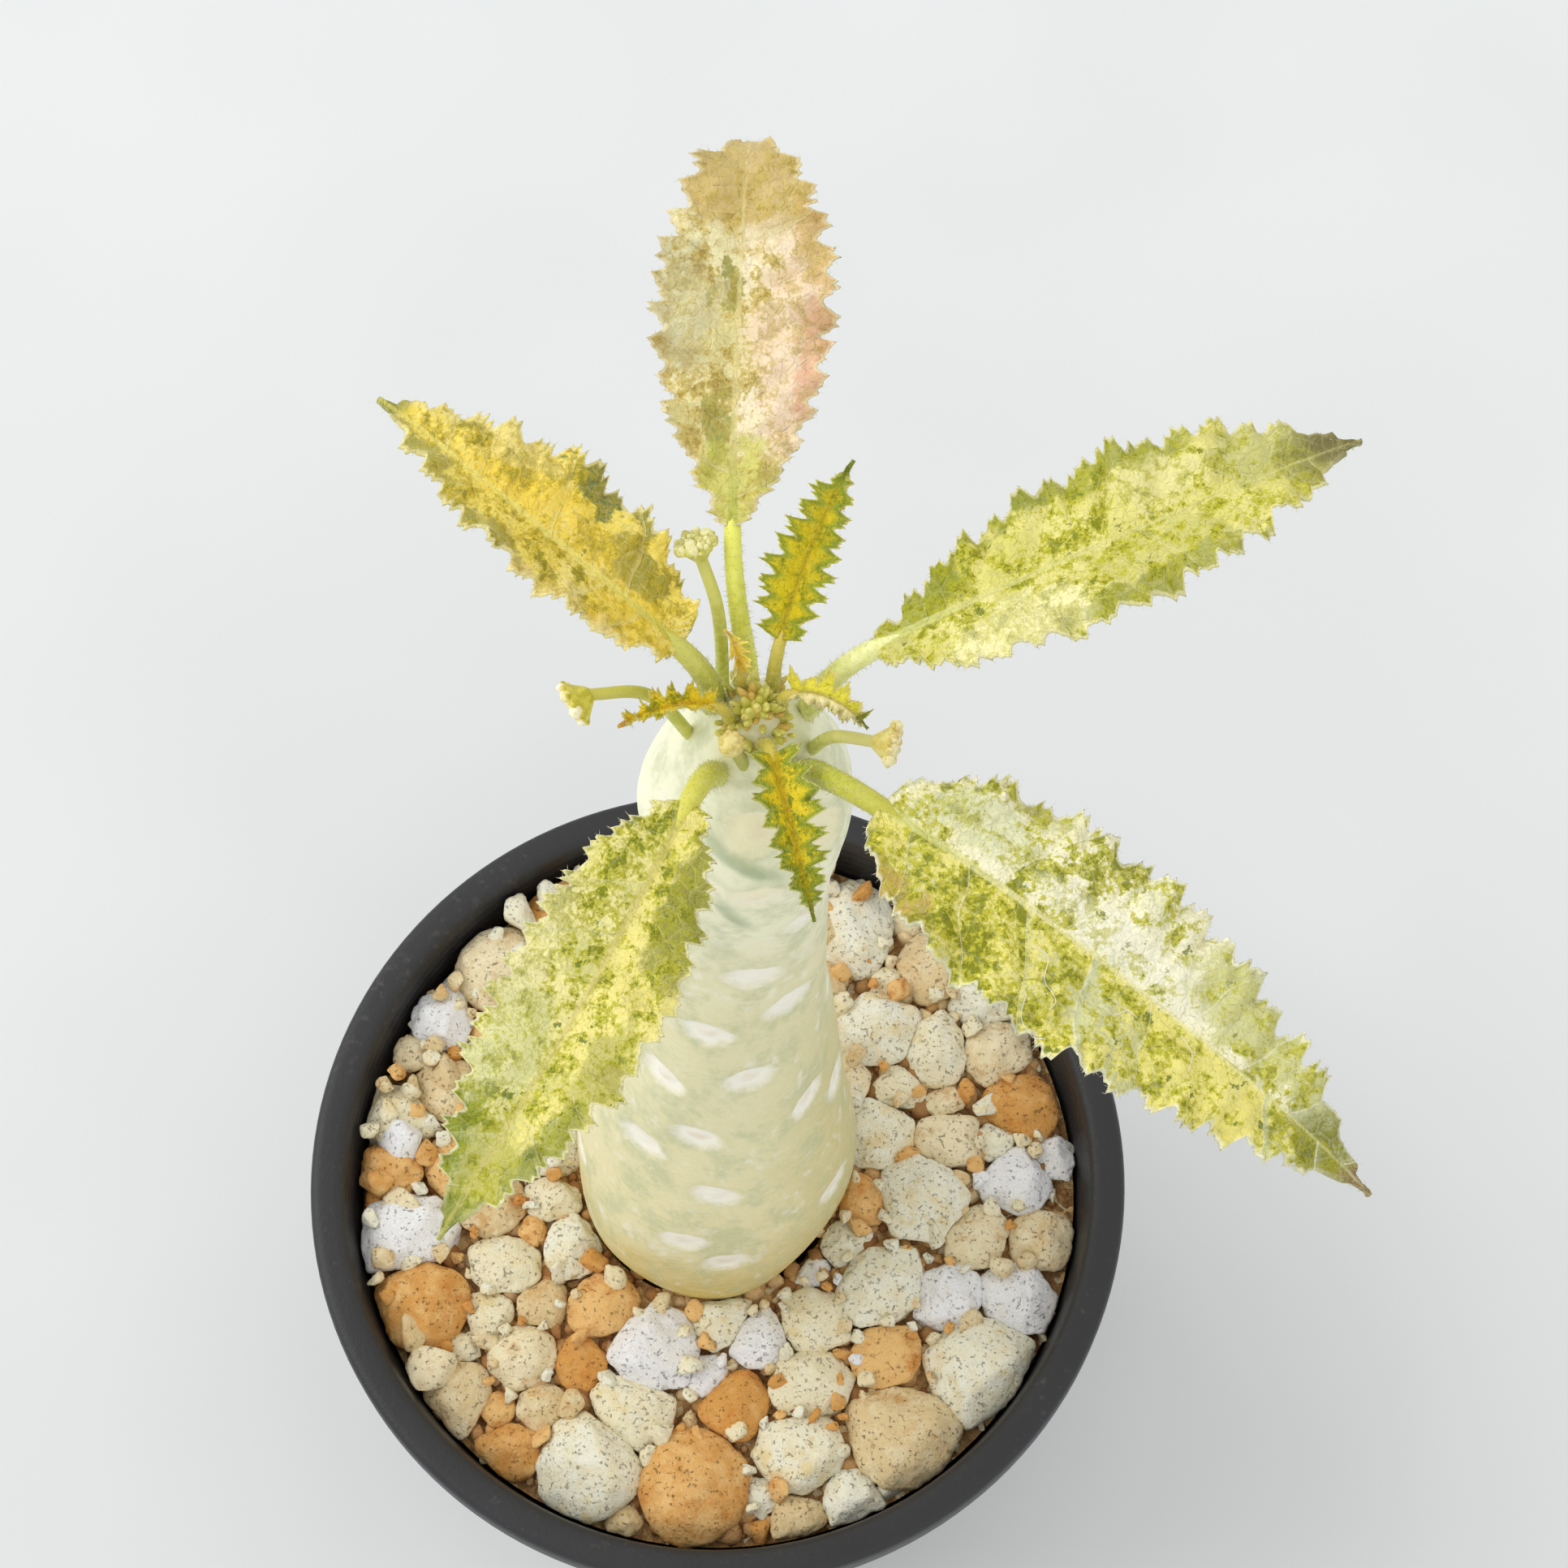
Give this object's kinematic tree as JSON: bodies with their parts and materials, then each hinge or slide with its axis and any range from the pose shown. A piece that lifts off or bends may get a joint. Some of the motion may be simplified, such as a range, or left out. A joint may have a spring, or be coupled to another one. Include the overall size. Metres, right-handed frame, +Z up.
{
  "type": "potted dorstenia horwoodii",
  "caption": "Potted caudex succulent: a fat pale stem in a round pot of gravel, with variegated toothed leaves and small stalked flower heads at its tip.",
  "frame": {"origin": "middle of the pot's underside, on the plane it rests on", "axes": "+Z up along the stem, -Y towards the front of the plant, +X to its right"},
  "size_m": [0.0785, 0.075, 0.1933],
  "materials": {
    "pot": "satin black plastic",
    "soil": "dry coarse gravel",
    "stem": "smooth pale bark",
    "leaf": "soft satin leaf",
    "young_leaf": "soft satin leaf",
    "flower": "matte fleshy flower",
    "bud": "matte scaly bud"
  },
  "bodies": {
    "root": {"pot": "pot", "soil": "soil", "stem": "stem", "leaf_left": "leaf", "leaf_back": "leaf", "leaf_right": "leaf", "leaf_front_right": "leaf", "leaf_front_left": "leaf", "young_leaf_back_right": "young_leaf", "young_leaf_front": "young_leaf", "young_leaf_left": "young_leaf", "young_leaf_right": "young_leaf", "young_leaf_back_left": "young_leaf", "flower_head_left": "flower", "flower_head_right": "flower", "flower_head_back": "flower", "flower_bud": "flower", "crown_buds": "bud"}
  },
  "joints": []
}
